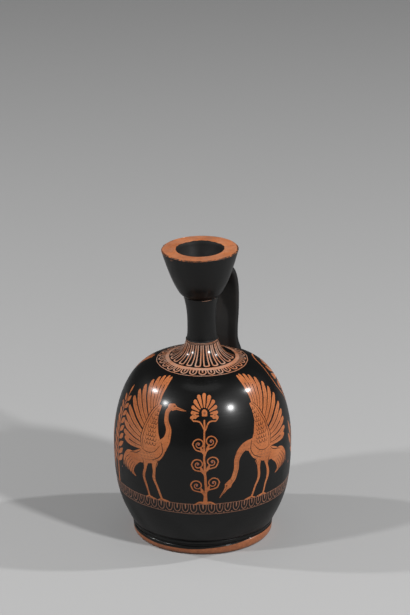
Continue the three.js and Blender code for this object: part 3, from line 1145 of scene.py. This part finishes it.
def finishes_in_order():
    return [
        slip_material("black_gloss", SLIP_TONES, (0.40, 0.52), 0.145, 0.34),
        clay_material("bare_clay", 0.0),
        thin_colour("dilute_brown", (0.30, 0.105, 0.042), (0.17, 0.055, 0.024), 0.4),
        thin_colour("added_red", (0.29, 0.115, 0.090), (0.19, 0.070, 0.058), 0.65),
        worn_material(),
        slip_material("dull_slip", DULL_TONES, (0.5, 0.7), 0.12, 0.0),
        # Clay under much painted pale sheen, for the shoulder's rings, eggs and tongues and the neck's bead
        clay_material("clay_painted_sheen", 0.55),
        # The rim's clay has a little of the same painted sheen, which also gives it its mottled patches
        clay_material("rim_clay", 0.16),
        # Clay darker than the bare clay, for the foot below the painted boundary
        thin_colour("darker_foot_clay", (0.40, 0.135, 0.052), (0.25, 0.080, 0.032), 0.4),
        thin_colour("faded_lines", (0.38, 0.165, 0.091), (0.24, 0.098, 0.056), 0.4),
        # Slip painted lighter, standing for light in the shade on the strap's inner face
        slip_material("slip_lightened_in_shade", SHADE_LIGHTENED_SLIP_TONES, (0.5, 0.7), 0.12, 0.0),
    ]


# The handle

STRAP_SIDES = 48
STRAP_ROWS = 84
SUNK = 1.8


def wall_radius(points, height):
    """The radius of an outline that climbs steadily, at a height"""
    heights = [p[1] for p in points]
    return float(np.interp(height, heights, [p[0] for p in points]))


def sunk_in_shoulder(at, wall):
    """How deep a point lies under the shoulder"""
    shoulder = [p for p in wall if p[1] > BODY_BELLY[1]]
    radii = [-p[0] for p in shoulder]
    return float(np.interp(-math.hypot(at.x, at.y), radii, [p[1] for p in shoulder])) - at.z


def sunk_in_mouth(at, wall):
    """How deep a point lies in the wall of the leaning neck and mouth"""
    local = Matrix.Rotation(LEAN, 4, "Y") @ (at - Vector((0, 0, COLLAR_HEIGHT)))
    return wall_radius(wall, local.z) - math.hypot(local.x, local.y)


def first_crossing(depth, start, end, steps=200):
    """Where along a line a depth first falls to SUNK"""
    for i in range(steps + 1):
        s = start + (end - start) * i / steps
        if depth(s) <= SUNK:
            return s
    return end


def strap(materials):
    """The bent strap. Each line along it starts and ends a little way in the wall that it joins."""
    middle = np.array(curve_through([HANDLE_TOP, HANDLE_BEND, HANDLE_WAIST, HANDLE_ROOT], 40), float)
    lengths = np.concatenate(([0.0], np.cumsum(np.hypot(*np.diff(middle, axis=0).T))))
    total = lengths[-1]
    tangents = np.gradient(middle, lengths, axis=0)
    tangents /= np.linalg.norm(tangents, axis=1)[:, None]
    away = Vector((math.cos(HANDLE_AZIMUTH), math.sin(HANDLE_AZIMUTH), 0))
    up = Vector((0, 0, 1))
    side = up.cross(away)

    def corner(s, turn):
        r, z, tr, tz = (np.interp(s, lengths, values) for values in (*middle.T, *tangents.T))
        flare = math.exp(-((min(s, total - s) / FLARE_LENGTH) ** 2) / 2)
        c, d = math.cos(turn), math.sin(turn)
        power = 2 / STRAP_SQUARENESS
        across = (STRAP_WIDTH + FLARE_WIDTH * flare) / 2 * math.copysign(abs(c) ** power, c)
        out = (STRAP_THICKNESS + FLARE_THICKNESS * flare) / 2 * math.copysign(abs(d) ** power, d)
        return away * (r - tz * out) + up * (z + tr * out) + side * across

    shoulder = curve_through([BODY_BASE, BODY_BELLY, BODY_SHOULDER, BODY_COLLAR])
    throat = curve_through([NECK_FOOT, NECK_WAIST, NECK_TOP])
    throat += curve_through([MOUTH_HEEL, MOUTH_CHEEK, MOUTH_EDGE])
    turns = [2 * math.pi * k / STRAP_SIDES for k in range(STRAP_SIDES)]
    starts = [
        first_crossing(lambda s, t=t: sunk_in_mouth(corner(s, t), throat), 0, total / 2)
        for t in turns
    ]
    ends = [
        first_crossing(lambda s, t=t: sunk_in_shoulder(corner(s, t), shoulder), total, total / 2)
        for t in turns
    ]
    vertices = []
    along = []
    for row in range(STRAP_ROWS + 1):
        t = row / STRAP_ROWS
        for turn, start, end in zip(turns, starts, ends):
            s = start + (end - start) * t
            vertices.append(corner(s, turn) * MM)
            along.append(s)
    faces = []
    for row in range(STRAP_ROWS):
        for k in range(STRAP_SIDES):
            a = row * STRAP_SIDES + k
            b = row * STRAP_SIDES + (k + 1) % STRAP_SIDES
            faces.append((a, b, b + STRAP_SIDES, a + STRAP_SIDES))
    faces.append(tuple(range(STRAP_SIDES))[::-1])
    faces.append(tuple(STRAP_ROWS * STRAP_SIDES + k for k in range(STRAP_SIDES)))
    below = middle[:, 1] < STRAP_BARE_BELOW
    bare_from = float(lengths[below].min())
    finishes = []
    for face in faces:
        # The inner face lies in shade and gets slip painted lighter, standing for light it does not get
        inner = len(face) == 4 and face[0] % STRAP_SIDES > STRAP_SIDES / 2
        bare = np.mean([along[i] for i in face]) > bare_from
        finishes.append(CLAY if bare else SLIP_LIGHTENED_IN_SHADE if inner else GLOSS)
    piece = new_piece("handle_strap", vertices, faces, finishes, materials)
    piece.data.polygons.foreach_set("use_smooth", [len(face) == 4 for face in faces])
    return piece


# Putting the flask together

def lean(piece):
    """Tips a piece of the neck about the collar, as it was joined"""
    pivot = Matrix.Translation((0, 0, COLLAR_HEIGHT * MM))
    piece.data.transform(pivot @ Matrix.Rotation(-LEAN, 4, "Y"))
    piece.data.update()


def stand_for(piece, node):
    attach(piece, "root")
    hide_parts(node)


def build_flask():
    finishes = finishes_in_order()
    foot = foot_outline()
    stand_for(turned_piece("foot_disc", foot, foot_painting(foot), finishes, 160, 1.6), "foot")
    body = body_outline()
    painting = body_painting(body)
    stand_for(turned_piece("body_painted", body, painting, finishes, shake=BRUSH_SHAKE), "body")
    outline = neck_outline()
    neck = turned_piece("neck_tube", outline, neck_painting(outline), finishes, 120, 1.2, shake=0.08)
    lean(neck)
    stand_for(neck, "neck")
    outline = mouth_outline()
    mouth = turned_piece("mouth_cup", outline, mouth_painting(outline), finishes, 160, 1.2, shake=0.35)
    lean(mouth)
    stand_for(mouth, "mouth")
    stand_for(strap(finishes), "handle")


# The studio

CAMERA_DISTANCE = 2.0
AIM_HEIGHT = 95.0
CAMERA_ELEVATION = math.radians(22.101)
PIXELS_PER_MM = 1.586
IMAGE = (410, 615)
AIM_PIXEL = (201.8, 388.8)
ROLL = math.radians(0.2)
SENSOR = 36.0

# Place, power in watts, width
LAMPS = {
    "left_behind": ((-1.51, 0.19, 1.27), 12.5, 0.08),
    "left_front": ((-1.44, -0.74, 1.15), 15, 0.14),
    "right_behind": ((1.46, 0.13, 1.34), 15, 0.08),
    "right_front": ((1.17, -1.15, 1.12), 28, 0.16),
    "ceiling": ((0, 0.1, 2.3), 3.5, 1.3),
}
WORLD_LEVEL = 0.08
FLOOR_SEEN = (0.41, 0.41, 0.41)
FLOOR_LIGHTING = (0.10, 0.10, 0.10)
FLOOR_REACH = 6.0


def camera():
    focal = PIXELS_PER_MM * CAMERA_DISTANCE / MM
    data = bpy.data.cameras.new("view")
    data.sensor_width = SENSOR
    data.lens = focal * SENSOR / IMAGE[1]
    made = bpy.data.objects.new("view", data)
    pitch = CAMERA_ELEVATION - math.atan((AIM_PIXEL[1] - IMAGE[1] / 2) / focal)
    yaw = math.atan((IMAGE[0] / 2 - AIM_PIXEL[0]) / focal)
    place = Vector((
        0,
        -CAMERA_DISTANCE * math.cos(CAMERA_ELEVATION),
        AIM_HEIGHT * MM + CAMERA_DISTANCE * math.sin(CAMERA_ELEVATION),
    ))
    turn = Matrix.Rotation(-yaw, 4, "Z") @ Matrix.Rotation(math.pi / 2 - pitch, 4, "X")
    made.matrix_world = Matrix.Translation(place) @ turn @ Matrix.Rotation(-ROLL, 4, "Z")
    bpy.context.scene.collection.objects.link(made)
    bpy.context.scene.camera = made


def lamp(name, place, power, size):
    data = bpy.data.lights.new(name, "AREA")
    data.shape = "DISK"
    data.size = size
    data.energy = power
    made = bpy.data.objects.new(name, data)
    made.location = place
    towards = Vector((0, 0, AIM_HEIGHT * MM)) - Vector(place)
    made.rotation_euler = towards.to_track_quat("-Z", "Y").to_euler()
    bpy.context.scene.collection.objects.link(made)


def largest(tree, first, second):
    node = tree.nodes.new("ShaderNodeMath")
    node.operation = "MAXIMUM"
    tree.links.new(first, node.inputs[0])
    tree.links.new(second, node.inputs[1])
    return node.outputs[0]


def studio():
    """A pale floor, which throws little light back up at the flask, and the lamps"""
    made, tree, shader = material("studio_floor")
    rays = tree.nodes.new("ShaderNodeLightPath").outputs
    seen = largest(tree, rays["Is Camera Ray"], rays["Is Glossy Ray"])
    seen = largest(tree, seen, rays["Is Transmission Ray"])
    tree.links.new(mix_colours(tree, seen, FLOOR_LIGHTING, FLOOR_SEEN), shader.inputs["Base Color"])
    shader.inputs["Roughness"].default_value = 0.9
    shader.inputs["Specular IOR Level"].default_value = 0.1
    mesh = bpy.data.meshes.new("studio_floor")
    corners = [(x * FLOOR_REACH, y * FLOOR_REACH, 0) for x, y in ((-1, -1), (1, -1), (1, 1), (-1, 1))]
    mesh.from_pydata(corners, [], [(0, 1, 2, 3)])
    mesh.materials.append(made)
    floor = bpy.data.objects.new("studio_floor", mesh)
    bpy.context.scene.collection.objects.link(floor)
    world = bpy.data.worlds.new("studio")
    world.use_nodes = True
    world.node_tree.nodes["Background"].inputs[0].default_value = (0.8, 0.8, 0.8, 1)
    world.node_tree.nodes["Background"].inputs[1].default_value = WORLD_LEVEL
    bpy.context.scene.world = world
    for name, settings in LAMPS.items():
        lamp(name, *settings)
    bpy.context.scene.view_settings.view_transform = "Standard"


camera()
studio()
build_flask()
